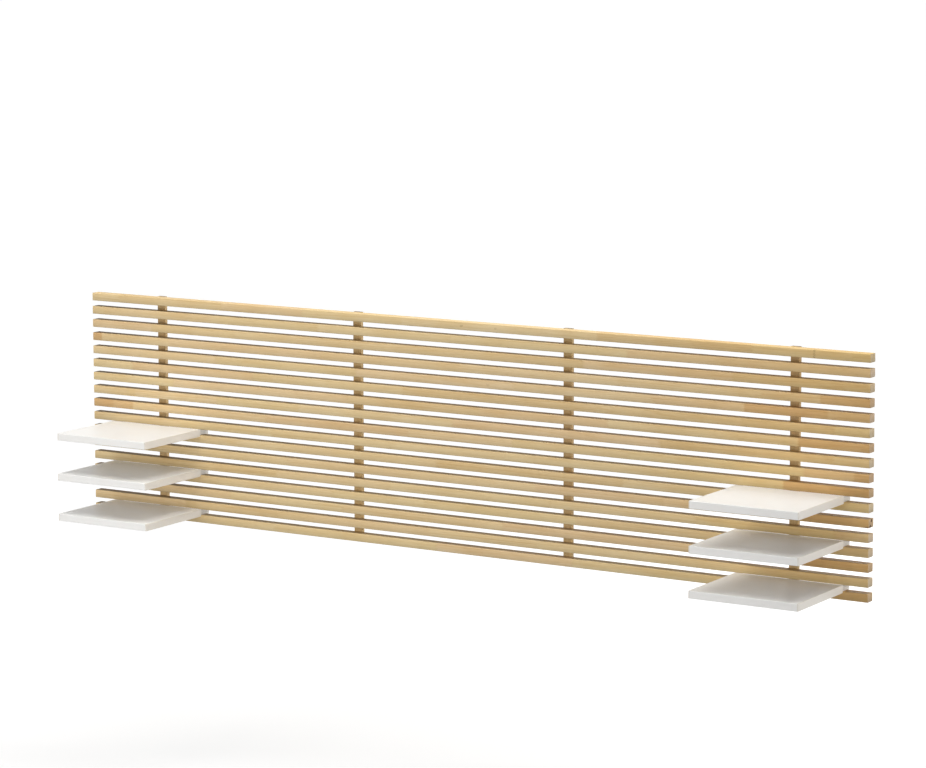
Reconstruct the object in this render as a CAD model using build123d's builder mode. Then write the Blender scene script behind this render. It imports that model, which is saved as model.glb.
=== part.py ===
from build123d import *
from math import radians, tan
import os

# A slatted wall headboard with six plug-in shelves. Lengths are in millimetres.
# X runs along the slats, Y runs back into the wall and Z is up. The wall is the plane Y = 0. The
# origin is in the middle of the line of keyhole entries that the headboard hangs by.

# Slats, all alike, one above the other
slat_length = 2400.0
slat_height = 22.0
slat_depth = 28.0
slat_gap = 15.375
slat_count = 17
slat_edge_radius = 2.0
slat_end_radius = 1.0

# Upright rails behind the slats
rail_count = 4
rail_width = 25.0
rail_thickness = 12.0
rail_inset = 219.0  # from the slats' ends to the middle of the outer rails
rail_edge_radius = 1.0

# Countersunk wood screws of every size
countersink_angle = 90.0
screw_fit = 0.1  # gap between a screw and its hole, all round
screw_tip_radius = 0.3
screw_slot_width = 0.8
screw_slot_depth = 1.0
screw_slot_margin = 1.4  # from the ends of the cross slot to the rim of the head

# Screws driven from the wall side through the rails into the slats
slat_screw_shank_radius = 2.0
slat_screw_head_radius = 4.0
slat_screw_cover = 6.0  # wood left in front of the tip

# Keyhole plates let into the backs of the rails
hanger_slat = 2  # the plates are level with the gap under this slat, counted from the top
hanger_width = 21.0
hanger_wall = 2.0
hanger_corner_radius = 2.0
hanger_recess_clearance = 0.2
hanger_head_clearance = 1.2  # from a plate to the slat screws' holes above and below it
keyhole_entry_radius = 4.5
keyhole_slot_radius = 2.25
keyhole_travel = 9.0  # how far the headboard drops onto the wall screw
wall_screw_clearance = 0.5  # room in the rail around the wall screw's head
keyhole_pocket_skin = 5.0  # wood left in front of the wall screw's head
hanger_screw_shank_radius = 1.25
hanger_screw_head_radius = 2.6
hanger_screw_side = 3.4  # from the plate's sides to its screws
hanger_screw_cover = 4.0  # wood left in front of the tip

# Shelves
shelf_tiers = 3
shelf_step = 3  # slats from one tier to the next
shelf_width = 300.0
shelf_depth = 250.0
shelf_thickness = 20.0
shelf_inset = 68.0  # from the slats' ends to the shelf's outer side
shelf_edge_radius = 1.5
shelf_back_clearance = 0.3  # from the shelf to the slats' fronts

# Steel end plates that carry the shelves: a web on the board's end, a flange let into its
# underside, and a tongue that goes through the gap above a slat and drops behind the slat
plate_wall = 3.0
plate_edge_radius = 0.8
flange_width = 22.0
flange_wall = 3.0
flange_end_inset = 12.0
flange_clearance = 0.2
tongue_wall_clearance = 3.0
tongue_lead = 0.8  # slope on the corners of the tongue's end, for plugging it in
nib_depth = 1.2  # how far the tongue drops behind the slat
nib_clearance = 0.4
lift_clearance = 0.2  # left over the tongue when the shelf is lifted off its slat

# Screws driven up through the flanges into the boards
shelf_screw_count = 3
shelf_screw_shank_radius = 1.75
shelf_screw_head_radius = 3.4
shelf_screw_cover = 6.0  # board left above the tip
shelf_screw_end_inset = 18.0  # from the flange's ends to its first and last screw

# Places worked out from the sizes above
slat_pitch = slat_height + slat_gap
frame_height = slat_count * slat_pitch - slat_gap
keyhole_middle_z = (keyhole_travel + keyhole_slot_radius - keyhole_entry_radius) / 2
frame_top = keyhole_middle_z + hanger_slat * slat_pitch - slat_gap / 2
frame_bottom = frame_top - frame_height
slat_back_y = -rail_thickness
slat_front_y = slat_back_y - slat_depth
slat_middle_y = (slat_back_y + slat_front_y) / 2
slat_screw_length = rail_thickness + slat_depth - slat_screw_cover
rail_pitch = (slat_length - 2 * rail_inset) / (rail_count - 1)
rail_places = [(number - (rail_count - 1) / 2) * rail_pitch for number in range(rail_count)]
hanger_height = slat_pitch - 2 * (slat_screw_head_radius + screw_fit + hanger_head_clearance)
hanger_screw_length = rail_thickness - hanger_screw_cover
shelf_front_y = slat_front_y - shelf_depth
shelf_back_y = slat_front_y - shelf_back_clearance
shelf_slats = [slat_count - shelf_step * tier for tier in reversed(range(shelf_tiers))]
flange_front_y = shelf_front_y + flange_end_inset
flange_back_y = shelf_back_y - flange_end_inset
flange_length = flange_back_y - flange_front_y
flange_middle_y = (flange_front_y + flange_back_y) / 2
shelf_screw_length = shelf_thickness - shelf_screw_cover
shelf_screw_inset = (plate_wall + flange_width) / 2
shelf_screw_pitch = (flange_length - 2 * shelf_screw_end_inset) / (shelf_screw_count - 1)
shelf_screw_rows = [
    (row - (shelf_screw_count - 1) / 2) * shelf_screw_pitch for row in range(shelf_screw_count)
]


def slat_top(number):
    """Height of the top of a slat, where slat 1 is the highest."""
    return frame_top - (number - 1) * slat_pitch


def slat_middle(number):
    return slat_top(number) - slat_height / 2


def wall_side_plane(x, y):
    """A plane that faces the wall, with its origin at height zero and its second axis up."""
    return Plane(origin=(x, y, 0), x_dir=(-1, 0, 0), z_dir=(0, 1, 0))


def underside_plane(x, z):
    """A plane that faces the floor, with its origin at the middle of the flanges."""
    return Plane(origin=(x, flange_middle_y, z), x_dir=(1, 0, 0), z_dir=(0, 0, -1))


def hanger_screw_places():
    side = hanger_width / 2 - hanger_screw_side
    return [(-side, keyhole_middle_z), (side, keyhole_middle_z)]


def wood_screw(head_radius, shank_radius, length):
    """A countersunk screw with a cross slot, which points down from the origin."""
    head_height = (head_radius - shank_radius) / tan(radians(countersink_angle / 2))
    slot_length = 2 * (head_radius - screw_slot_margin)
    with BuildPart() as screw:
        with BuildSketch(Plane.XZ):
            with BuildLine():
                Polyline(
                    (0, 0),
                    (head_radius, 0),
                    (shank_radius, -head_height),
                    (shank_radius, shank_radius - length),
                    (screw_tip_radius, -length),
                    (0, -length),
                    close=True,
                )
            make_face()
        revolve(axis=Axis.Z)
        with BuildSketch(Plane.XY):
            Rectangle(slot_length, screw_slot_width)
            Rectangle(screw_slot_width, slot_length)
        extrude(amount=-screw_slot_depth, mode=Mode.SUBTRACT)
    return screw.part


def write_screws(name, plane, places, screw):
    """Write copies of one screw as a group of separate solids."""
    with BuildPart(plane) as screws:
        with Locations(*places):
            add(screw)
    screws.part.label = name
    export_step(screws.part, f"parts/{name}.step")


def drill_for_screws(plane, places, head_radius, shank_radius):
    """Cut countersunk holes right through the active part."""
    with Locations(plane):
        with Locations(*places):
            CounterSinkHole(
                shank_radius + screw_fit,
                head_radius + screw_fit,
                counter_sink_angle=countersink_angle,
            )


def drill_pilots(plane, places, shank_radius, screw_reach):
    """Cut blind holes in the active part, just longer than what the screws reach in."""
    with Locations(plane):
        with Locations(*places):
            Hole(shank_radius + screw_fit, depth=screw_reach + screw_fit)


def draw_keyhole(entry_radius, slot_radius):
    """Draw a keyhole in the active sketch, with the middle of its entry at the origin."""
    Circle(entry_radius)
    with Locations((0, keyhole_travel / 2)):
        Rectangle(2 * slot_radius, keyhole_travel)
    with Locations((0, keyhole_travel)):
        Circle(slot_radius)


def write_slat(number):
    name = f"slat_{number:02d}"
    screw_places = [(x, slat_middle(number)) for x in rail_places]
    with BuildPart() as slat:
        with BuildSketch(Plane.YZ.offset(-slat_length / 2)):
            with Locations((slat_middle_y, slat_middle(number))):
                RectangleRounded(slat_depth, slat_height, slat_edge_radius)
        extrude(amount=slat_length)
        fillet(slat.faces().filter_by(Axis.X).edges(), slat_end_radius)
        drill_pilots(
            wall_side_plane(0, slat_back_y),
            screw_places,
            slat_screw_shank_radius,
            slat_screw_length - rail_thickness,
        )
    slat.part.label = name
    export_step(slat.part, f"parts/{name}.step")


def write_rail(name, x):
    """One rail, recessed for its keyhole plate and drilled for all of its screws."""
    back = wall_side_plane(x, 0)
    head_room_radius = keyhole_entry_radius + wall_screw_clearance
    slat_screw_places = [(0, slat_middle(slat)) for slat in range(1, slat_count + 1)]
    with BuildPart() as rail:
        with BuildSketch(Plane.XY.offset(frame_bottom)):
            with Locations((x, slat_back_y / 2)):
                Rectangle(rail_width, rail_thickness)
        extrude(amount=frame_height)
        fillet(rail.edges().filter_by(Axis.Z), rail_edge_radius)
        with BuildSketch(back):
            with Locations((0, keyhole_middle_z)):
                RectangleRounded(
                    hanger_width + 2 * hanger_recess_clearance,
                    hanger_height + 2 * hanger_recess_clearance,
                    hanger_corner_radius + hanger_recess_clearance,
                )
        extrude(amount=-hanger_wall, mode=Mode.SUBTRACT)
        with BuildSketch(back):
            draw_keyhole(head_room_radius, head_room_radius)
        extrude(amount=keyhole_pocket_skin - rail_thickness, mode=Mode.SUBTRACT)
        drill_pilots(back, hanger_screw_places(), hanger_screw_shank_radius, hanger_screw_length)
        drill_for_screws(back, slat_screw_places, slat_screw_head_radius, slat_screw_shank_radius)
    rail.part.label = name
    export_step(rail.part, f"parts/{name}.step")


def write_hanger_plate(name, x):
    back = wall_side_plane(x, 0)
    with BuildPart() as plate:
        with BuildSketch(back):
            with Locations((0, keyhole_middle_z)):
                RectangleRounded(hanger_width, hanger_height, hanger_corner_radius)
        extrude(amount=-hanger_wall)
        with BuildSketch(back):
            draw_keyhole(keyhole_entry_radius, keyhole_slot_radius)
        extrude(amount=-hanger_wall, mode=Mode.SUBTRACT)
        drill_for_screws(
            back,
            hanger_screw_places(),
            hanger_screw_head_radius,
            hanger_screw_shank_radius,
        )
    plate.part.label = name
    export_step(plate.part, f"parts/{name}.step")


def write_board(name, left_x, top_z, screw_places):
    """The board between two end plates, with rounded front edges and a rebate for each flange."""
    bottom_z = top_z - shelf_thickness
    board_left_x = left_x + plate_wall
    board_right_x = left_x + shelf_width - plate_wall
    rebate_width = flange_width - plate_wall + flange_clearance
    with BuildPart() as board:
        with BuildSketch(Plane.XY.offset(bottom_z)):
            with Locations((left_x + shelf_width / 2, (shelf_front_y + shelf_back_y) / 2)):
                Rectangle(board_right_x - board_left_x, shelf_back_y - shelf_front_y)
        extrude(amount=shelf_thickness)
        fillet(board.edges().filter_by(Axis.X).group_by(Axis.Y)[0], shelf_edge_radius)
        with BuildSketch(Plane.XY.offset(bottom_z)):
            with Locations(
                (board_left_x + rebate_width / 2, flange_middle_y),
                (board_right_x - rebate_width / 2, flange_middle_y),
            ):
                Rectangle(rebate_width, flange_length + 2 * flange_clearance)
        extrude(amount=flange_wall, mode=Mode.SUBTRACT)
        drill_pilots(
            underside_plane(left_x, bottom_z),
            screw_places,
            shelf_screw_shank_radius,
            shelf_screw_length,
        )
    board.part.label = name
    export_step(board.part, f"parts/{name}.step")


def write_end_plate(name, outer_x, inward, top_z):
    """One end plate. Its flange points along +X where inward is 1, and along -X where it is -1."""
    bottom_z = top_z - shelf_thickness
    seat_z = top_z - slat_gap
    nib_z = seat_z - nib_depth
    nib_front_y = slat_back_y + nib_clearance
    tongue_end_y = -tongue_wall_clearance
    tongue_top_z = top_z - nib_depth - lift_clearance
    with BuildPart() as plate:
        with BuildSketch(Plane.YZ.offset(outer_x)) as profile:
            with BuildLine():
                Polyline(
                    (shelf_front_y, bottom_z),
                    (shelf_front_y, top_z),
                    (shelf_back_y, top_z),
                    (shelf_back_y, tongue_top_z),
                    (tongue_end_y - tongue_lead, tongue_top_z),
                    (tongue_end_y, tongue_top_z - tongue_lead),
                    (tongue_end_y, nib_z + tongue_lead),
                    (tongue_end_y - tongue_lead, nib_z),
                    (nib_front_y, nib_z),
                    (nib_front_y, seat_z),
                    (shelf_back_y, seat_z),
                    (shelf_back_y, bottom_z),
                    close=True,
                )
            make_face()
            fillet(profile.vertices().group_by(Axis.X)[0], shelf_edge_radius)
        extrude(amount=inward * plate_wall)
        with BuildSketch(Plane.XY.offset(bottom_z)):
            with Locations((outer_x + inward * flange_width / 2, flange_middle_y)):
                Rectangle(flange_width, flange_length)
        extrude(amount=flange_wall)
        outer_face = plate.faces().filter_by(Axis.X).sort_by(Axis.X)[0 if inward > 0 else -1]
        rim_edges = outer_face.edges().filter_by(lambda edge: edge.center().Y < flange_back_y)
        fillet(rim_edges, plate_edge_radius)
        drill_for_screws(
            underside_plane(outer_x, bottom_z),
            [(inward * shelf_screw_inset, y) for y in shelf_screw_rows],
            shelf_screw_head_radius,
            shelf_screw_shank_radius,
        )
    plate.part.label = name
    export_step(plate.part, f"parts/{name}.step")


def write_shelf(name, left_x, top_z, left_plate, right_plate):
    """One shelf: its board, its two end plates and all of its screws."""
    right_x = left_x + shelf_width
    screw_columns = (shelf_screw_inset, shelf_width - shelf_screw_inset)
    screw_places = [(x, y) for x in screw_columns for y in shelf_screw_rows]
    screw = wood_screw(shelf_screw_head_radius, shelf_screw_shank_radius, shelf_screw_length)
    write_board(f"{name}_board", left_x, top_z, screw_places)
    write_end_plate(f"{name}_{left_plate}_plate", left_x, 1, top_z)
    write_end_plate(f"{name}_{right_plate}_plate", right_x, -1, top_z)
    underside = underside_plane(left_x, top_z - shelf_thickness)
    write_screws(f"{name}_screws", underside, screw_places, screw)


def write_slats():
    for number in range(1, slat_count + 1):
        write_slat(number)


def write_rails():
    """The rails, with the screws that hold the slats."""
    screw = wood_screw(slat_screw_head_radius, slat_screw_shank_radius, slat_screw_length)
    screw_places = [(0, slat_middle(slat)) for slat in range(1, slat_count + 1)]
    for number, x in enumerate(rail_places, start=1):
        write_rail(f"rail_{number}", x)
        write_screws(f"rail_{number}_screws", wall_side_plane(x, 0), screw_places, screw)


def write_hangers():
    """The keyhole plates, with the screws that hold them."""
    screw = wood_screw(hanger_screw_head_radius, hanger_screw_shank_radius, hanger_screw_length)
    for number, x in enumerate(rail_places, start=1):
        write_hanger_plate(f"hanger_plate_{number}", x)
    screw_places = [(x + side, z) for x in rail_places for side, z in hanger_screw_places()]
    write_screws("hanger_screws", wall_side_plane(0, 0), screw_places, screw)


def write_shelves():
    """A column of shelves at each end, hooked over the lowest slat and every few above it."""
    outer_x = slat_length / 2 - shelf_inset
    for tier, slat in enumerate(shelf_slats, start=1):
        top_z = slat_top(slat) + slat_gap
        write_shelf(f"shelf_left_{tier}", -outer_x, top_z, "outer", "inner")
        write_shelf(f"shelf_right_{tier}", outer_x - shelf_width, top_z, "inner", "outer")


os.makedirs("parts", exist_ok=True)
write_slats()
write_rails()
write_hangers()
write_shelves()
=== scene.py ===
import math
from collections import namedtuple
from types import SimpleNamespace

import bpy
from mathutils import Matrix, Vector


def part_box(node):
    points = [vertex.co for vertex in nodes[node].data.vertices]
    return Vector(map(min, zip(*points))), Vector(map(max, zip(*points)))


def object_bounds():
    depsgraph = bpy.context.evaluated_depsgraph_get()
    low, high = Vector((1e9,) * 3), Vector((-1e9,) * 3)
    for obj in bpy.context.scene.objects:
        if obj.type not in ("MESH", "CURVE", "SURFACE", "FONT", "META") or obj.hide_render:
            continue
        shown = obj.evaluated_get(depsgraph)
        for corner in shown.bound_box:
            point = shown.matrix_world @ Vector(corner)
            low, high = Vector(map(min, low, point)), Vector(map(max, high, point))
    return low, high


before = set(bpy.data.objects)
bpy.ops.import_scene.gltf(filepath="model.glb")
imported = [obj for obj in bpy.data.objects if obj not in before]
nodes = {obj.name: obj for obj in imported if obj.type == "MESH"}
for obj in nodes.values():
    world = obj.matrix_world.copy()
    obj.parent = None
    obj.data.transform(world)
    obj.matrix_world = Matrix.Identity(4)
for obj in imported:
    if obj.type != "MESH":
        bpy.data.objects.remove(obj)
cad_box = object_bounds()
slats = [name for name in nodes if name.startswith("slat_")]

# Places and sizes read from the frame, in metres
MM = 0.001
slat_low, slat_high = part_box("slat_01")
slat_below_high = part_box("slat_02")[1]
lowest_slat_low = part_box("slat_17")[0]
SLAT_COUNT = len(slats)
SLAT_PITCH = slat_high.z - slat_below_high.z
SLAT_HEIGHT = slat_high.z - slat_low.z
SLAT_DEPTH = slat_high.y - slat_low.y
SLAT_MIDDLE_Y = (slat_low.y + slat_high.y) / 2
LOWEST_SLAT_MIDDLE_Z = lowest_slat_low.z + SLAT_HEIGHT / 2
RAIL_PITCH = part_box("rail_2")[0].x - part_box("rail_1")[0].x
RAIL_1_X = (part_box("rail_1")[0].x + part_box("rail_1")[1].x) / 2
SHELF_FRONT_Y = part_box("shelf_left_1_board")[0].y
OBJECT_BOTTOM_Z = cad_box[0].z

# Camera, fitted to the slats, rails and shelf corners in the photograph
CAMERA_PLACE = Vector((4.6347, -7.4251, 1.2253))
CAMERA_TURN = math.radians(30.688)
CAMERA_DIP = math.radians(7.036)
CAMERA_LENS = 130.18
CAMERA_SHIFT = (-0.08, -0.10)

WHITE = (1.0, 1.0, 1.0, 1.0)

# A surface faces an axis in full from the second value of its normal on, and not below the first
FACING_FROM, FACING_FULL = 0.6, 0.9


def srgb(red, green, blue):
    """A colour written in the usual 0 to 255 values, as linear values."""
    linear = []
    for value in (red, green, blue):
        share = value / 255
        linear.append(share / 12.92 if share <= 0.04045 else ((share + 0.055) / 1.055) ** 2.4)
    return (*linear, 1.0)


# A kind of noise. Its scale is one number, or a number for each axis where it is stretched.
Noise = namedtuple("Noise", "scale detail roughness distortion", defaults=(0.0,))
NOISE_MIDDLE = 0.5


class Graph:
    """The nodes of one material or world, made and wired by short calls."""

    def __init__(self, tree):
        self.tree = tree
        self.tree.nodes.clear()

    def node(self, kind, inputs=None, **settings):
        new = self.tree.nodes.new(kind)
        for key, value in settings.items():
            setattr(new, key, value)
        for key, value in (inputs or {}).items():
            self.feed(new.inputs[key], value)
        return new

    def feed(self, socket, value):
        if isinstance(value, bpy.types.NodeSocket):
            self.tree.links.new(value, socket)
        else:
            socket.default_value = value

    def math(self, operation, first, second=0.0, third=0.0):
        inputs = {0: first, 1: second, 2: third}
        return self.node("ShaderNodeMath", inputs, operation=operation).outputs[0]

    def fit(self, value, from_low, from_high, to_low=0.0, to_high=1.0):
        """A value moved from one range to another, and held there past the range's ends."""
        inputs = {0: value, 1: from_low, 2: from_high, 3: to_low, 4: to_high}
        return self.node("ShaderNodeMapRange", inputs, clamp=True).outputs[0]

    def mix(self, share, first, second, blend_type="MIX"):
        inputs = {0: share, 6: first, 7: second}
        settings = {"data_type": "RGBA", "blend_type": blend_type}
        return self.node("ShaderNodeMix", inputs, **settings).outputs[2]

    def tint(self, share, colour, tint):
        """The colour, multiplied by the tint where share is 1."""
        return self.mix(share, colour, tint, "MULTIPLY")

    def ramp(self, value, stops):
        ramp = self.node("ShaderNodeValToRGB", {0: value})
        elements = ramp.color_ramp.elements
        for place, colour in stops[1:-1]:
            elements.new(place).color = colour
        elements[0].position, elements[0].color = stops[0]
        elements[-1].position, elements[-1].color = stops[-1]
        return ramp.outputs[0]

    def vector(self, x, y, z):
        return self.node("ShaderNodeCombineXYZ", {0: x, 1: y, 2: z}).outputs[0]

    def parts(self, vector):
        return self.node("ShaderNodeSeparateXYZ", {0: vector}).outputs

    def length(self, vector):
        return self.node("ShaderNodeVectorMath", {0: vector}, operation="LENGTH").outputs["Value"]

    def noise(self, place, kind):
        scale = kind.scale
        if isinstance(scale, tuple):
            stretch = {0: place, 1: scale}
            place = self.node("ShaderNodeVectorMath", stretch, operation="MULTIPLY").outputs[0]
            scale = 1.0
        inputs = {
            "Vector": place,
            "Scale": scale,
            "Detail": kind.detail,
            "Roughness": kind.roughness,
            "Distortion": kind.distortion,
        }
        return self.node("ShaderNodeTexNoise", inputs).outputs[0]

    def place(self):
        """The point's place on the object at rest, in metres."""
        return self.node("ShaderNodeTexCoord").outputs["Object"]

    def facing(self, axis, either_way=False):
        """How squarely the surface faces along an axis, 0 for X to 2 for Z, from 0 to 1."""
        part = self.parts(self.node("ShaderNodeTexCoord").outputs["Normal"])[axis]
        if either_way:
            part = self.math("ABSOLUTE", part)
        return self.fit(part, FACING_FROM, FACING_FULL)

    def surface(self, colour, roughness, relief, relief_depth, more):
        """The shader, with bumps relief_depth deep in metres. more holds its other sockets."""
        bumps = {"Strength": 1.0, "Distance": relief_depth, "Height": relief}
        normal = self.node("ShaderNodeBump", bumps).outputs[0]
        inputs = {"Base Color": colour, "Roughness": roughness, "Normal": normal, **more}
        shader = self.node("ShaderNodeBsdfPrincipled", inputs)
        self.node("ShaderNodeOutputMaterial", {0: shader.outputs[0]})


def new_material(name):
    material = bpy.data.materials.new(name)
    material.use_nodes = True
    return material, Graph(material.node_tree)


# Birch. Staves are finger-jointed end to end, each with its own tone and its own grain.
STAVE_LENGTH = 0.42
FINGER_PITCH = 3.8 * MM
FINGER_LENGTH = 10 * MM
JOINT_WIDTH = 0.35 * MM
RING_WIDTH = 2.8 * MM
RING_DRIFT = 26 * MM
PITH_AWAY = 38 * MM
PITH_SPREAD = 60 * MM

# How far apart in the noise the grain of unlike staves and boards is taken, in metres, and how
# many staves apart two boards start in the row of all staves
OWN_ALONG, OWN_ACROSS, OWN_BOARD = 9.0, 5.0, 3.7
BOARD_START = 17.31

STREAKS = Noise((2.6, 190.0, 190.0), 5.0, 0.62, 0.6)
PORES = Noise((55.0, 1500.0, 1500.0), 2.0, 0.5)
CLOUDS = Noise((7.0, 16.0, 16.0), 3.0, 0.55, 0.3)
DRIFT = Noise((1.3, 16.0, 16.0), 2.0, 0.5)

# Where a pattern starts, where it is full, and the shares that it goes from and to between them
STREAK_SHARES = (0.50, 0.72, 0.0, 0.60)
PORE_SHARES = (0.60, 0.72, 0.0, 0.50)
DARK_CLOUD_SHARES = (0.42, 0.70, 0.0, 0.45)
LIGHT_CLOUD_SHARES = (0.44, 0.25, 0.0, 0.50)
RING_SHARES = (0.30, 1.0)
TONE_RING_SHARES = (0.0, 1.0, 0.15, 0.55)
RARE_HEART_SHARES = (0.86, 0.97, 0.0, 0.22)
HEART_SHARE = 0.92
JOINT_SHARE = 0.7

PALE_BIRCH = srgb(233, 208, 161)
YELLOW_BIRCH = srgb(230, 205, 154)
PINK_BIRCH = srgb(232, 203, 159)
TAN_BIRCH = srgb(226, 197, 147)
HEART_BIRCH = srgb(217, 177, 124)
STAVE_TONES = [
    (0.0, PALE_BIRCH),
    (0.30, YELLOW_BIRCH),
    (0.55, PINK_BIRCH),
    (0.80, PALE_BIRCH),
    (1.0, TAN_BIRCH),
]
DARK_CLOUD_TINT = (0.90, 0.83, 0.70, 1.0)
LIGHT_CLOUD_TINT = (1.05, 1.08, 1.14, 1.0)
GRAIN_TINT = (0.84, 0.76, 0.64, 1.0)
RING_TINT = (0.90, 0.84, 0.73, 1.0)
PORE_TINT = (0.76, 0.66, 0.52, 1.0)
JOINT_TINT = (0.66, 0.54, 0.42, 1.0)

# Sawn ends: the rings' middle lies below the section and swings from board to board
END_TINT = (0.83, 0.88, 1.10, 1.0)
END_PITH_BELOW = 45 * MM
END_PITH_SWING = 30 * MM
END_PITH_TURN = 5.1  # radians of that swing for each board
END_RINGS_TURN = 3400.0  # radians of the ring pattern for each metre
END_WOBBLE = Noise(60.0, 3.0, 0.5)
END_WOBBLE_TURN = 5.0
END_RING_SHARES = (0.0, 1.0, 0.0, 0.45)

# Clear satin lacquer: its roughness follows the streaks, and its relief the grain
WOOD_ROUGHNESS = (0.30, 0.75, 0.50, 0.66)
STREAK_RELIEF, PORE_RELIEF, JOINT_RELIEF = 0.8, 0.6, 0.8
WOOD_RELIEF = 0.12 * MM
WOOD_SPECULAR = 0.15


def grain_masks(graph, along, across, depth, board):
    """Shares from 0 to 1 for one board's staves, joints, rings, streaks, pores and soft clouds."""
    half_pitch = FINGER_PITCH / 2
    finger = graph.math("PINGPONG", across, half_pitch)
    jag = graph.math("MULTIPLY", finger, FINGER_LENGTH / half_pitch)
    counted = graph.math("DIVIDE", graph.math("ADD", along, jag), STAVE_LENGTH)
    stave_place = graph.math("MULTIPLY_ADD", board, BOARD_START, counted)
    place = {"W": stave_place, "Scale": 1.0}
    cells = graph.node("ShaderNodeTexVoronoi", place, voronoi_dimensions="1D")
    edges = graph.node("ShaderNodeTexVoronoi", place, voronoi_dimensions="1D", feature="DISTANCE_TO_EDGE")
    tones = graph.parts(cells.outputs["Color"])
    own = graph.vector(
        graph.math("MULTIPLY_ADD", tones[1], OWN_ALONG, along),
        graph.math("MULTIPLY_ADD", tones[2], OWN_ACROSS, across),
        graph.math("MULTIPLY_ADD", board, OWN_BOARD, depth),
    )
    pith_across = graph.math("MULTIPLY_ADD", tones[2], PITH_SPREAD, -PITH_SPREAD / 2)
    past_pith = graph.math("SUBTRACT", across, pith_across)
    radius = graph.length(graph.vector(0.0, past_pith, graph.math("ADD", depth, PITH_AWAY)))
    radius = graph.math("MULTIPLY_ADD", graph.noise(own, DRIFT), RING_DRIFT, radius)
    rings = graph.math("SINE", graph.math("MULTIPLY", radius, math.tau / RING_WIDTH))
    return SimpleNamespace(
        tone=tones[0],
        warmth=tones[1],
        joint=graph.fit(edges.outputs["Distance"], 0.0, JOINT_WIDTH / STAVE_LENGTH, 1.0, 0.0),
        rings=graph.fit(rings, *RING_SHARES),
        streaks=graph.noise(own, STREAKS),
        pores=graph.noise(own, PORES),
        clouds=graph.noise(own, CLOUDS),
    )


def birch_colour(graph, masks, heart):
    """The colour of planed birch from the masks. heart is how much heartwood there is."""
    colour = graph.ramp(masks.tone, STAVE_TONES)
    colour = graph.mix(graph.math("MULTIPLY", heart, HEART_SHARE), colour, HEART_BIRCH)
    colour = graph.tint(graph.fit(masks.clouds, *DARK_CLOUD_SHARES), colour, DARK_CLOUD_TINT)
    colour = graph.tint(graph.fit(masks.clouds, *LIGHT_CLOUD_SHARES), colour, LIGHT_CLOUD_TINT)
    colour = graph.tint(graph.fit(masks.streaks, *STREAK_SHARES), colour, GRAIN_TINT)
    rings = graph.math("MULTIPLY", masks.rings, graph.fit(masks.tone, *TONE_RING_SHARES))
    colour = graph.tint(rings, colour, RING_TINT)
    colour = graph.tint(graph.fit(masks.pores, *PORE_SHARES), colour, PORE_TINT)
    return graph.tint(graph.math("MULTIPLY", masks.joint, JOINT_SHARE), colour, JOINT_TINT)


def add_end_grain(graph, colour, sawn, first, second, board):
    """Duller sawn ends, where sawn is 1, with the rings cut across."""
    swing = graph.math("SINE", graph.math("MULTIPLY", board, END_PITH_TURN))
    first_off = graph.math("MULTIPLY_ADD", swing, END_PITH_SWING, first)
    second_off = graph.math("ADD", second, END_PITH_BELOW)
    radius = graph.length(graph.vector(first_off, second_off, 0.0))
    wobble = graph.noise(graph.vector(first, second, board), END_WOBBLE)
    turn = graph.math("MULTIPLY", radius, END_RINGS_TURN)
    turn = graph.math("MULTIPLY_ADD", wobble, END_WOBBLE_TURN, turn)
    rings = graph.fit(graph.math("SINE", turn), *END_RING_SHARES)
    end_colour = graph.tint(rings, graph.tint(1.0, colour, END_TINT), GRAIN_TINT)
    return graph.mix(sawn, colour, end_colour)


def wood_surface(graph, colour, masks):
    """Clear satin lacquer over planed wood: the grain shows in its sheen and its relief."""
    roughness = graph.fit(masks.streaks, *WOOD_ROUGHNESS)
    pores = graph.math("MULTIPLY", masks.pores, PORE_RELIEF)
    relief = graph.math("MULTIPLY_ADD", masks.streaks, STREAK_RELIEF, pores)
    relief = graph.math("SUBTRACT", relief, graph.math("MULTIPLY", masks.joint, JOINT_RELIEF))
    graph.surface(colour, roughness, relief, WOOD_RELIEF, {"Specular IOR Level": WOOD_SPECULAR})


# Slats are counted in whole numbers, so what lies within half of a slat's number is that slat
HALF_ROW = 0.5

# Staves of darker heartwood: the slat counted from the top, the stave's two ends, how dark
HEART_STAVES = (
    (4, -1.205, -1.166, 0.95),
    (9, -1.205, -1.128, 1.00),
    (9, -1.128, -1.060, 0.75),
    (4, 1.067, 1.205, 0.70),
    (5, 0.857, 1.089, 0.80),
    (5, 1.089, 1.205, 0.35),
    (7, 1.008, 1.205, 0.85),
    (9, 1.162, 1.205, 0.70),
    (10, 0.968, 1.205, 0.90),
    (12, 0.930, 1.205, 0.85),
    (15, 0.930, 1.205, 0.80),
    (17, 0.860, 1.205, 0.65),
)
STAVE_END_SLANT = 3.0  # how far along its end's zigzag goes, for each length across

# Knots: the slat, the place along it, in from its front and up from its middle, radius, how dark
KNOTS = (
    (12, 1.200, 16 * MM, 6 * MM, 4.1 * MM, 0.97),
    (12, 1.200, 10 * MM, -7 * MM, 4.1 * MM, 0.95),
    (12, 1.195, 0.0, -10 * MM, 2.4 * MM, 0.70),
    (1, 0.020, 0.0, 0.0, 3.0 * MM, 0.24),
    (1, 0.125, 0.0, 0.0, 2.5 * MM, 0.16),
    (5, 0.102, 0.0, 0.0, 3.0 * MM, 0.10),
)
KNOT_EDGE = Noise(230.0, 3.0, 0.6)
KNOT_RAGGED = 8 * MM
KNOT_SPREAD = 0.8 * MM
KNOT_STRETCH = 1.6
KNOT_CORE_SHARE = 0.55
KNOT_RINGS = [
    (0.0, srgb(84, 52, 28)),
    (0.20, srgb(46, 29, 18)),
    (0.42, srgb(98, 63, 34)),
    (0.62, srgb(54, 34, 20)),
    (1.0, srgb(148, 98, 54)),
]

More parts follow.
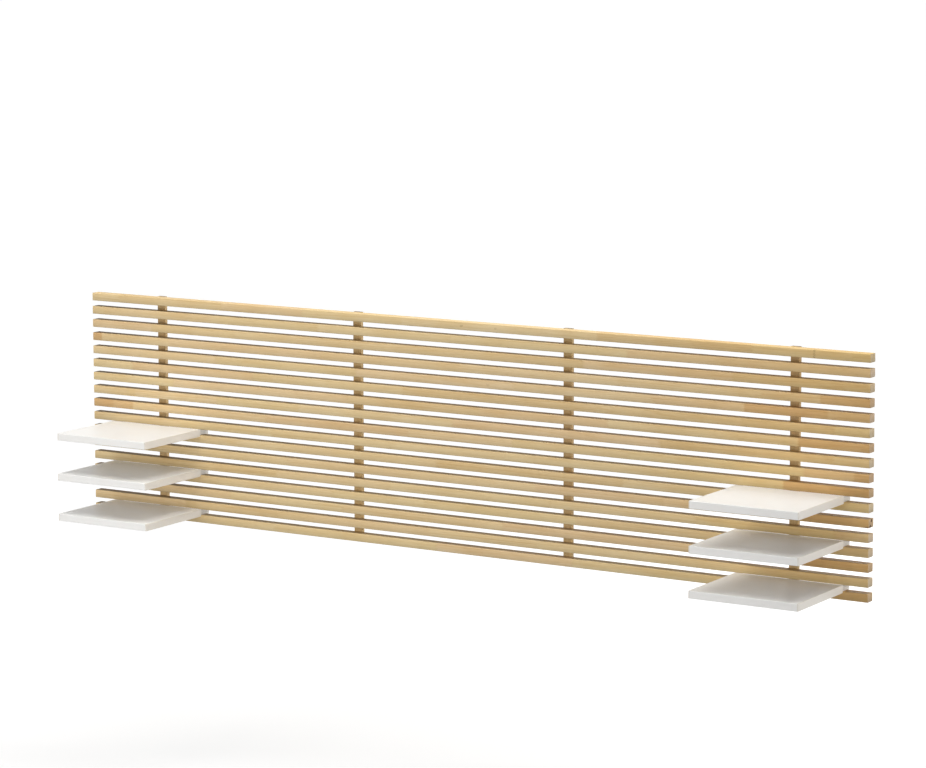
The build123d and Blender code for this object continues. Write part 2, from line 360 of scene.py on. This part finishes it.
# Finger joints whose glue line shows dark: the slat and the place along it
DARK_JOINTS = ((1, 1.050),)
DARK_JOINT_HALF_WIDTH = 0.9 * MM
DARK_JOINT_SHARE = 0.75
DARK_JOINT_COLOUR = srgb(120, 84, 52)

# The wood is warmer towards the right end. Painted shade darkens the slats' lower edges, and
# the tops that face another slat, most of all at the far left
RIGHT_TINT = (0.985, 0.925, 0.79, 1.0)
RIGHT_TINT_FROM, RIGHT_TINT_FULL = 0.50, 1.05
LOW_SHADE_TINT = (0.745, 0.78, 0.84, 1.0)
LOW_SHADE_FROM_SHARE, LOW_SHADE_FULL_SHARE = 0.30, -0.50
GAP_SHADE_TINT = (0.80, 0.79, 0.79, 1.0)
LEFT_GAP_SHADE_TINT = (0.50, 0.48, 0.46, 1.0)
LEFT_GAP_SHADE_FROM = -0.45

# Dark marks on the tops of the slats that carry the shelves, where the tongues sit: painted contact
# shadow under the tongues, and rub marks of the steel on the wood
CARRYING_SLATS = (11, 14, 17)
TONGUE_PLACES = [
    abs(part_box(f"shelf_left_1_{side}_plate")[0].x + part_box(f"shelf_left_1_{side}_plate")[1].x) / 2
    for side in ("outer", "inner")
]
TONGUE_MARK_HALF_WIDTH = 9 * MM
TONGUE_SHADOW_AND_RUB_TINT = (0.62, 0.60, 0.59, 1.0)
TONGUE_MARK_STREAK_SHARES = (0.25, 0.6, 0.75, 1.0)

# Paler wood on the arrises, where hands and cloths wear them
WORN_TINT = (1.06, 1.08, 1.12, 1.0)
WORN_SHARES = (0.86, 0.95)
WORN_CLOUD_SHARES = (0.35, 0.6, 0.15, 0.6)


def slat_place(graph):
    """A point's place along its slat and on its section, its slat and the way it faces.

    The row is the slat counted from the lowest, which is 0. jagged_x follows the finger joints.
    """
    x, y, z = graph.parts(graph.place())
    row = graph.math("DIVIDE", graph.math("SUBTRACT", z, LOWEST_SLAT_MIDDLE_Z), SLAT_PITCH)
    row = graph.math("ROUND", row)
    middle_z = graph.math("MULTIPLY_ADD", row, SLAT_PITCH, LOWEST_SLAT_MIDDLE_Z)
    own_z = graph.math("SUBTRACT", z, middle_z)
    finger = graph.math("PINGPONG", own_z, FINGER_PITCH / 2)
    return SimpleNamespace(
        x=x,
        y=y,
        row=row,
        own_y=graph.math("SUBTRACT", y, SLAT_MIDDLE_Y),
        own_z=own_z,
        jagged_x=graph.math("MULTIPLY_ADD", finger, STAVE_END_SLANT, x),
        on_end=graph.facing(0, either_way=True),
        on_top=graph.facing(2),
    )


def on_slat(graph, at, slat):
    """1 on that slat, counted from the top, and 0 on the others."""
    return graph.math("COMPARE", at.row, float(SLAT_COUNT - slat), HALF_ROW)


def heartwood(graph, at, masks):
    """How much heartwood there is: the listed staves, and a little in rare others."""
    heart = 0.0
    for slat, low, high, share in HEART_STAVES:
        inside = graph.math("COMPARE", at.jagged_x, (low + high) / 2, (high - low) / 2)
        here = graph.math("MULTIPLY", on_slat(graph, at, slat), inside)
        heart = graph.math("MULTIPLY_ADD", here, share, heart)
    return graph.math("MAXIMUM", heart, graph.fit(masks.warmth, *RARE_HEART_SHARES))


def add_knots(graph, colour, at):
    """Dark knots with ragged edges and rings of their own."""
    edge = graph.noise(graph.vector(at.own_z, at.x, at.y), KNOT_EDGE)
    ragged = graph.math("SUBTRACT", NOISE_MIDDLE, edge)
    for slat, along, inward, up, radius, dark in KNOTS:
        from_knot = graph.vector(
            graph.math("DIVIDE", graph.math("SUBTRACT", at.x, along), KNOT_STRETCH),
            graph.math("SUBTRACT", at.y, slat_low.y + inward),
            graph.math("SUBTRACT", at.own_z, up),
        )
        away = graph.math("MULTIPLY_ADD", ragged, KNOT_RAGGED, graph.length(from_knot))
        away = graph.math("SUBTRACT", away, KNOT_SPREAD)
        spot = graph.fit(away, radius * KNOT_CORE_SHARE, radius, 1.0, 0.0)
        spot = graph.math("MULTIPLY", on_slat(graph, at, slat), spot)
        rings = graph.ramp(graph.fit(away, 0.0, radius), KNOT_RINGS)
        colour = graph.mix(graph.math("MULTIPLY", spot, dark), colour, rings)
    return colour


def add_dark_joints(graph, colour, at):
    for slat, along in DARK_JOINTS:
        line = graph.math("COMPARE", at.jagged_x, along, DARK_JOINT_HALF_WIDTH)
        glued = graph.math("MULTIPLY", on_slat(graph, at, slat), line)
        colour = graph.mix(graph.math("MULTIPLY", glued, DARK_JOINT_SHARE), colour, DARK_JOINT_COLOUR)
    return colour


def warm_right_end(graph, colour, at):
    at_right = graph.fit(at.x, RIGHT_TINT_FROM, RIGHT_TINT_FULL)
    at_right = graph.math("MULTIPLY", at_right, graph.math("SUBTRACT", 1.0, at.on_end))
    return graph.tint(at_right, colour, RIGHT_TINT)


def shade_gap_tops(graph, colour, at):
    below_another = graph.math("LESS_THAN", at.row, SLAT_COUNT - 1 - HALF_ROW)
    in_gap = graph.math("MULTIPLY", at.on_top, below_another)
    at_left = graph.fit(at.x, LEFT_GAP_SHADE_FROM, slat_low.x)
    # Painted shade on the tops in the gaps between slats, deeper towards the far left end
    colour = graph.tint(in_gap, colour, GAP_SHADE_TINT)
    return graph.tint(graph.math("MULTIPLY", at_left, in_gap), colour, LEFT_GAP_SHADE_TINT)


def add_tongue_shadows_and_rub_marks(graph, colour, at, masks):
    carrying = 0.0
    for slat in CARRYING_SLATS:
        carrying = graph.math("ADD", on_slat(graph, at, slat), carrying)
    shadow_and_rub = 0.0
    for tongue_x in TONGUE_PLACES:
        away = graph.math("SUBTRACT", graph.math("ABSOLUTE", at.x), tongue_x)
        mark = graph.fit(graph.math("ABSOLUTE", away), TONGUE_MARK_HALF_WIDTH, TONGUE_MARK_HALF_WIDTH / 2)
        shadow_and_rub = graph.math("MAXIMUM", mark, shadow_and_rub)
    shadow_and_rub = graph.math("MULTIPLY", shadow_and_rub, graph.math("MULTIPLY", carrying, at.on_top))
    shadow_and_rub = graph.math("MULTIPLY", shadow_and_rub, graph.fit(masks.streaks, *TONGUE_MARK_STREAK_SHARES))
    # Painted contact shadow of the tongues, with rub marks, on the carrying slats' tops
    return graph.tint(shadow_and_rub, colour, TONGUE_SHADOW_AND_RUB_TINT)


def shade_lower_edge(graph, colour, at):
    # Painted shade: each slat darkens from above its middle down to its lower edge
    tint_from, tint_full = LOW_SHADE_FROM_SHARE * SLAT_HEIGHT, LOW_SHADE_FULL_SHARE * SLAT_HEIGHT
    return graph.tint(graph.fit(at.own_z, tint_from, tint_full), colour, LOW_SHADE_TINT)


def wear_arrises(graph, colour, at, masks):
    """The arrises are where a point is far out on the section both ways."""
    out_y = graph.math("DIVIDE", graph.math("ABSOLUTE", at.own_y), SLAT_DEPTH / 2)
    out_z = graph.math("DIVIDE", graph.math("ABSOLUTE", at.own_z), SLAT_HEIGHT / 2)
    arris = graph.fit(graph.math("MINIMUM", out_y, out_z), *WORN_SHARES)
    worn = graph.math("MULTIPLY", arris, graph.fit(masks.clouds, *WORN_CLOUD_SHARES))
    return graph.tint(worn, colour, WORN_TINT)


def make_slat_birch():
    material, graph = new_material("slat_birch")
    at = slat_place(graph)
    masks = grain_masks(graph, at.x, at.own_z, at.own_y, at.row)
    colour = birch_colour(graph, masks, heartwood(graph, at, masks))
    colour = add_knots(graph, colour, at)
    colour = add_dark_joints(graph, colour, at)
    colour = warm_right_end(graph, colour, at)
    colour = add_end_grain(graph, colour, at.on_end, at.own_y, at.own_z, at.row)
    colour = shade_gap_tops(graph, colour, at)
    colour = add_tongue_shadows_and_rub_marks(graph, colour, at, masks)
    colour = shade_lower_edge(graph, colour, at)
    colour = wear_arrises(graph, colour, at, masks)
    wood_surface(graph, colour, masks)
    return material


RAIL_TONE_AND_SHADE_TINT = (0.87, 0.84, 0.78, 1.0)
RAIL_END_GRAIN_AND_SHADE_TINT = (0.42, 0.36, 0.29, 1.0)
FIRST_RAIL_BOARD = 40.0  # the rails' boards are counted on from here, so their grain is their own


def make_rail_birch():
    """The upright rails, of the same wood with the grain upright and a duller tone that is partly painted
    shade behind the slats.
    """
    material, graph = new_material("rail_birch")
    x, y, z = graph.parts(graph.place())
    board = graph.math("ROUND", graph.math("DIVIDE", graph.math("SUBTRACT", x, RAIL_1_X), RAIL_PITCH))
    own_x = graph.math("SUBTRACT", x, graph.math("MULTIPLY_ADD", board, RAIL_PITCH, RAIL_1_X))
    masks = grain_masks(graph, z, own_x, y, graph.math("ADD", board, FIRST_RAIL_BOARD))
    # Duller tone: the rails' own, and painted shade behind the slats
    colour = graph.tint(1.0, birch_colour(graph, masks, 0.0), RAIL_TONE_AND_SHADE_TINT)
    on_end = graph.facing(2, either_way=True)
    colour = add_end_grain(graph, colour, on_end, own_x, y, board)
    # The rails' ends are made much darker than end grain: painted shade as well as end grain
    colour = graph.tint(on_end, colour, RAIL_END_GRAIN_AND_SHADE_TINT)
    wood_surface(graph, colour, masks)
    return material


# White foil on the shelf boards, with a seam along the front edge
FOIL_WHITE = srgb(246, 246, 245)
FOIL_SHADE = srgb(245, 244, 242)
FOIL_CLOUDS = Noise(14.0, 4.0, 0.55)
FOIL_CLOUD_SHARES = (0.35, 0.65)
FOIL_SPECK = srgb(200, 192, 178)
FOIL_SPECKS = Noise(900.0, 1.0, 0.5)
FOIL_SPECK_SHARES = (0.70, 0.80, 0.0, 0.12)
FOIL_SCUFFS = Noise((260.0, 30.0, 30.0), 3.0, 0.6, 0.8)
FOIL_ROUGHNESS = (0.40, 0.75, 0.34, 0.46)
FOIL_TEXTURE = Noise(1800.0, 2.0, 0.5)
FOIL_RELIEF = 0.008 * MM
FOIL_SPECULAR = 0.35
SEAM_COLOUR = srgb(150, 142, 128)
SEAM_INSET = 1.7 * MM
SEAM_HALF_WIDTH = 0.12 * MM
SEAM_SHARE = 0.45
SEAM_RELIEF = 2.0


def make_white_foil():
    material, graph = new_material("white_foil")
    place = graph.place()
    clouds = graph.fit(graph.noise(place, FOIL_CLOUDS), *FOIL_CLOUD_SHARES)
    specks = graph.fit(graph.noise(place, FOIL_SPECKS), *FOIL_SPECK_SHARES)
    seam = graph.math("COMPARE", graph.parts(place)[1], SHELF_FRONT_Y + SEAM_INSET, SEAM_HALF_WIDTH)
    colour = graph.mix(clouds, FOIL_WHITE, FOIL_SHADE)
    colour = graph.mix(specks, colour, FOIL_SPECK)
    colour = graph.mix(graph.math("MULTIPLY", seam, SEAM_SHARE), colour, SEAM_COLOUR)
    roughness = graph.fit(graph.noise(place, FOIL_SCUFFS), *FOIL_ROUGHNESS)
    texture = graph.noise(place, FOIL_TEXTURE)
    relief = graph.math("SUBTRACT", texture, graph.math("MULTIPLY", seam, SEAM_RELIEF))
    graph.surface(colour, roughness, relief, FOIL_RELIEF, {"Specular IOR Level": FOIL_SPECULAR})
    return material


# Powder coat on the shelves' end plates, rubbed through where the tongues sit on the slats; there the
# bare steel is made dark as painted shade of the tongues in the gaps
COAT_WHITE = srgb(234, 230, 223)
COAT_SHADE = srgb(231, 226, 218)
COAT_CLOUDS = Noise(9.0, 3.0, 0.5)
COAT_CLOUD_SHARES = (0.30, 0.70)
COAT_SPECK = srgb(176, 170, 160)
COAT_SPECKS = Noise(1100.0, 1.0, 0.5)
COAT_SPECK_SHARES = (0.66, 0.78, 0.0, 0.20)
COAT_PEEL = Noise(420.0, 2.0, 0.5)
COAT_ROUGHNESS = (0.35, 0.65, 0.38, 0.50)
COAT_RELIEF = 0.018 * MM
BARE_STEEL_AND_SHADE = srgb(140, 136, 128)
SCRATCHES = Noise((420.0, 60.0, 420.0), 4.0, 0.65, 0.5)
SCRATCH_SHARES = (0.42, 0.66, 0.1, 0.45)
RUBBED_AND_SHADED_FROM_Y, RUBBED_AND_SHADED_FULL_Y = slat_low.y - 1 * MM, slat_low.y + 3 * MM
RUBBED_METAL_SHARE = 0.7


def make_powder_coat():
    material, graph = new_material("powder_coat")
    place = graph.place()
    clouds = graph.fit(graph.noise(place, COAT_CLOUDS), *COAT_CLOUD_SHARES)
    specks = graph.fit(graph.noise(place, COAT_SPECKS), *COAT_SPECK_SHARES)
    on_tongue = graph.fit(graph.parts(place)[1], RUBBED_AND_SHADED_FROM_Y, RUBBED_AND_SHADED_FULL_Y)
    scratches = graph.fit(graph.noise(place, SCRATCHES), *SCRATCH_SHARES)
    rubbed_and_shaded = graph.math("MULTIPLY", on_tongue, scratches)
    colour = graph.mix(clouds, COAT_WHITE, COAT_SHADE)
    colour = graph.mix(specks, colour, COAT_SPECK)
    # The tongues darken: bare steel, and painted shade in the gaps between the slats
    colour = graph.mix(rubbed_and_shaded, colour, BARE_STEEL_AND_SHADE)
    peel = graph.noise(place, COAT_PEEL)
    roughness = graph.fit(peel, *COAT_ROUGHNESS)
    metal = graph.math("MULTIPLY", rubbed_and_shaded, RUBBED_METAL_SHARE)
    graph.surface(colour, roughness, peel, COAT_RELIEF, {"Metallic": metal})
    return material


# Zinc-plated steel of the keyhole plates and screws
ZINC_LIGHT = srgb(206, 209, 211)
ZINC_YELLOW = srgb(201, 196, 178)
ZINC_DULL = srgb(150, 152, 154)
ZINC_BLOOM = Noise(160.0, 3.0, 0.6, 0.4)
ZINC_BLOOM_SHARES = (0.35, 0.65)
ZINC_DULLING = Noise(420.0, 4.0, 0.6)
ZINC_DULL_SHARES = (0.50, 0.75, 0.0, 0.6)
ZINC_BRUSHING = Noise((3000.0, 3000.0, 150.0), 2.0, 0.5)
ZINC_ROUGHNESS = (0.7, 1.3, 0.26, 0.46)
ZINC_RELIEF = 0.02 * MM


def make_zinc():
    material, graph = new_material("zinc_steel")
    place = graph.place()
    bloom = graph.fit(graph.noise(place, ZINC_BLOOM), *ZINC_BLOOM_SHARES)
    dulling = graph.noise(place, ZINC_DULLING)
    brushed = graph.noise(place, ZINC_BRUSHING)
    colour = graph.mix(bloom, ZINC_LIGHT, ZINC_YELLOW)
    colour = graph.mix(graph.fit(dulling, *ZINC_DULL_SHARES), colour, ZINC_DULL)
    roughness = graph.fit(graph.math("ADD", brushed, dulling), *ZINC_ROUGHNESS)
    graph.surface(colour, roughness, brushed, ZINC_RELIEF, {"Metallic": 1.0})
    return material


def give(material, names):
    for name in names:
        piece = nodes[name]
        piece.data.materials.clear()
        piece.data.materials.append(material)


def dress():
    screws = [name for name in nodes if name.endswith("screws")]
    rails = [name for name in nodes if name.startswith("rail_") and name not in screws]
    hangers = [name for name in nodes if name.startswith("hanger_plate")]
    boards = [name for name in nodes if name.endswith("_board")]
    plates = [name for name in nodes if name.startswith("shelf_") and name.endswith("_plate")]
    give(make_slat_birch(), slats)
    give(make_rail_birch(), rails)
    give(make_white_foil(), boards)
    give(make_powder_coat(), plates)
    give(make_zinc(), screws + hangers)


def seen_ray(graph):
    """1 for rays from the eye, or seen in or through something shiny, and 0 for the light."""
    rays = graph.node("ShaderNodeLightPath").outputs
    shiny = graph.math("MAXIMUM", rays["Is Glossy Ray"], rays["Is Transmission Ray"])
    return graph.math("MAXIMUM", rays["Is Camera Ray"], shiny)


# Floor: how far it lies below the object, its own grey, and how it pales from near to far
FLOOR_DROP = 0.70
FLOOR_SIZE = 120.0
FLOOR_GREY = (0.42, 0.417, 0.413, 1.0)
FLOOR_NEAR, FLOOR_FAR = 1.6, 5.2
FLOOR_LIFT_NEAR, FLOOR_LIFT_FAR = 0.64, 0.90


def make_floor_white():
    material, graph = new_material("floor_white")
    matte = graph.node("ShaderNodeBsdfDiffuse", {"Color": FLOOR_GREY}).outputs[0]
    away = graph.length(graph.place())
    pale = graph.fit(away, FLOOR_NEAR, FLOOR_FAR, FLOOR_LIFT_NEAR, FLOOR_LIFT_FAR)
    lift = graph.math("MULTIPLY", seen_ray(graph), pale)
    glow = graph.node("ShaderNodeEmission", {"Color": WHITE, "Strength": lift}).outputs[0]
    both = graph.node("ShaderNodeAddShader", {0: matte, 1: glow}).outputs[0]
    graph.node("ShaderNodeOutputMaterial", {0: both})
    return material


def make_floor():
    z = OBJECT_BOTTOM_Z - FLOOR_DROP
    half = FLOOR_SIZE / 2
    mesh = bpy.data.meshes.new("floor")
    corners = [(-half, -half, z), (half, -half, z), (half, half, z), (-half, half, z)]
    mesh.from_pydata(corners, [], [(0, 1, 2, 3)])
    mesh.materials.append(make_floor_white())
    floor = bpy.data.objects.new("floor", mesh)
    bpy.context.scene.collection.objects.link(floor)


# World: its light from low in front, from high in front, and from behind the object
LOW_FRONT_LIGHT, HIGH_FRONT_LIGHT, BACK_LIGHT = 0.62, 0.28, 0.09
HIGH_FROM, HIGH_FULL = 0.30, 0.80
BEHIND_FROM, BEHIND_FULL = 0.0, 0.4


def make_world():
    world = bpy.data.worlds.new("studio")
    bpy.context.scene.world = world
    world.use_nodes = True
    graph = Graph(world.node_tree)
    direction = graph.parts(graph.node("ShaderNodeTexCoord").outputs["Generated"])
    front_light = graph.fit(direction[2], HIGH_FROM, HIGH_FULL, LOW_FRONT_LIGHT, HIGH_FRONT_LIGHT)
    light = graph.fit(direction[1], BEHIND_FROM, BEHIND_FULL, front_light, BACK_LIGHT)
    seen = seen_ray(graph)
    unseen_light = graph.math("MULTIPLY", graph.math("SUBTRACT", 1.0, seen), light)
    strength = graph.math("ADD", seen, unseen_light)
    background = graph.node("ShaderNodeBackground", {"Color": WHITE, "Strength": strength})
    graph.node("ShaderNodeOutputWorld", {0: background.outputs[0]})


# Soft lamps: name, place, the point it faces, its two sides, its power, its colour
LAMPS = (
    ("key", (-0.70, -2.6, -0.42), (-0.40, 0.0, -0.27), (1.8, 0.7), 20.8, (1.0, 0.985, 0.955)),
    ("top", (0.15, -0.40, 2.7), (0.05, -0.25, -0.2), (5.0, 1.0), 102.0, (1.0, 0.995, 0.98)),
    ("fill", (4.6, -0.5, -0.2), (0.4, -0.1, -0.25), (1.6, 0.7), 50.0, (1.0, 0.99, 0.975)),
    ("left", (-4.6, -0.3, -0.2), (-0.6, -0.1, -0.25), (1.6, 0.7), 26.0, (1.0, 0.99, 0.975)),
    ("back", (0.4, 4.2, -0.2), (0.0, 0.0, -0.25), (3.0, 0.6), 74.0, (1.0, 1.0, 1.0)),
)


def make_lamps():
    for name, place, aim, sides, power, colour in LAMPS:
        lamp = bpy.data.lights.new(name, "AREA")
        lamp.shape = "RECTANGLE"
        lamp.size, lamp.size_y = sides
        lamp.energy = power
        lamp.color = colour
        holder = bpy.data.objects.new(name, lamp)
        holder.location = place
        direction = Vector(aim) - Vector(place)
        holder.rotation_euler = direction.to_track_quat("-Z", "Y").to_euler()
        holder.visible_camera = False
        bpy.context.scene.collection.objects.link(holder)


def make_camera():
    camera = bpy.data.cameras.new("camera")
    camera.lens = CAMERA_LENS
    camera.shift_x, camera.shift_y = CAMERA_SHIFT
    holder = bpy.data.objects.new("camera", camera)
    holder.location = CAMERA_PLACE
    holder.rotation_euler = (math.pi / 2 - CAMERA_DIP, 0.0, CAMERA_TURN)
    bpy.context.scene.collection.objects.link(holder)
    bpy.context.scene.camera = holder


dress()
make_floor()
make_world()
make_lamps()
make_camera()
bpy.context.scene.view_settings.view_transform = "Standard"
